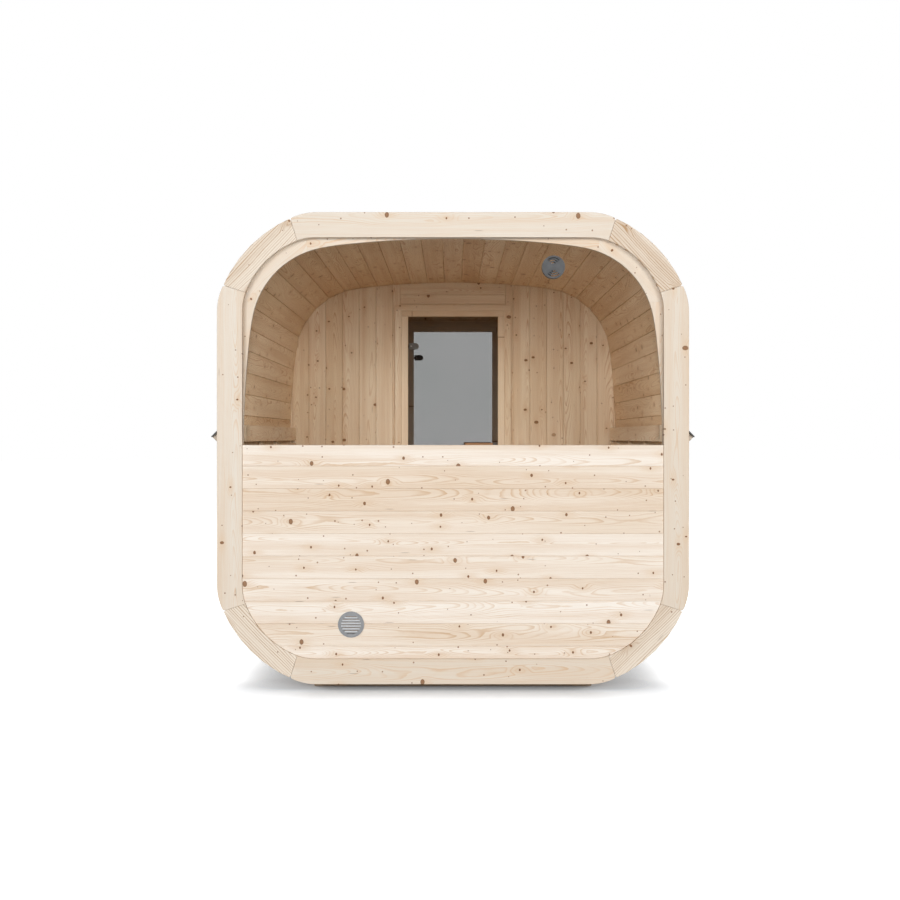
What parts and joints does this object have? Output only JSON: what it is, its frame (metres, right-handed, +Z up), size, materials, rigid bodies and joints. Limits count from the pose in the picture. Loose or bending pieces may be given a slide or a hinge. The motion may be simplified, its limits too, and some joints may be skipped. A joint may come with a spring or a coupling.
{
  "type": "outdoor stave sauna cabin",
  "caption": "Rounded square outdoor sauna cabin of wooden staves with a glazed end, a partition with a glass door, and a matching glass entrance door.",
  "frame": {"origin": "on the ground under the middle of the cabin", "axes": "+X to the right seen from the glazed end, +Y along the cabin from the glazed end to the door end, +Z up"},
  "size_m": [2.379, 3.4, 2.334],
  "materials": {
    "spruce": "planed, bare",
    "inner_wood": "oiled",
    "beam_wood": "impregnated",
    "roofing": "mineral surfaced sheet",
    "clear_glass": "clear, polished",
    "tinted_glass": "grey tinted, polished",
    "vent_grey": "satin",
    "grille_metal": "satin",
    "hinge_metal": "satin"
  },
  "bodies": {
    "cabin": {"base_beams": "beam_wood", "floor_joists": "spruce", "room_floors": "spruce", "floor_staves": "spruce", "left_wall_staves": "spruce", "right_wall_staves": "spruce", "roof_staves": "spruce", "upper_left_corner_staves": "spruce", "upper_right_corner_staves": "spruce", "lower_left_corner_staves": "spruce", "lower_right_corner_staves": "spruce", "roof_membrane": "roofing", "left_eaves_board": "spruce", "right_eaves_board": "spruce", "window_end_trim_boards": "spruce", "window_end_corner_trims": "spruce", "door_end_trim_boards": "spruce", "door_end_corner_trims": "spruce", "window_ring": "spruce", "door_end_ring": "spruce", "window_end_wall": "spruce", "window_rail": "spruce", "window_pane": "clear_glass", "pane_vent_cover": "vent_grey", "wall_vent_grille": "grille_metal", "backrests": "spruce", "partition_left": "spruce", "partition_right": "spruce", "partition_over_door": "spruce", "door_end_wall_left": "spruce", "door_end_wall_right": "spruce", "door_end_wall_over_door": "spruce", "partition_door_frame": "spruce", "partition_door_casing": "spruce", "partition_door_hinge_plates": "hinge_metal", "entrance_door_frame": "spruce", "entrance_door_casing": "spruce", "entrance_door_hinge_plates": "hinge_metal"},
    "partition_door_leaf": {"partition_door_glass": "tinted_glass", "partition_door_clamps": "hinge_metal", "partition_door_handles": "inner_wood"},
    "entrance_door_leaf": {"entrance_door_glass": "tinted_glass", "entrance_door_clamps": "hinge_metal", "entrance_door_handles": "inner_wood"},
    "vent_dial": {"pane_vent_dial": "vent_grey"}
  },
  "joints": [
    {"name": "partition_door_swing", "type": "hinge", "parent": "cabin", "child": "partition_door_leaf", "pos_m": [-0.3025, 0.467, 0.231], "axis": [0, 0, 1], "range_deg": [0, 100]},
    {"name": "entrance_door_swing", "type": "hinge", "parent": "cabin", "child": "entrance_door_leaf", "pos_m": [-0.3025, 1.665, 0.231], "axis": [0, 0, 1], "range_deg": [0, 100]},
    {"name": "pane_vent_turn", "type": "hinge", "parent": "cabin", "child": "vent_dial", "pos_m": [0.494, -1.662, 2.0705], "axis": [0, 1, 0], "range_deg": [0, 45]}
  ]
}
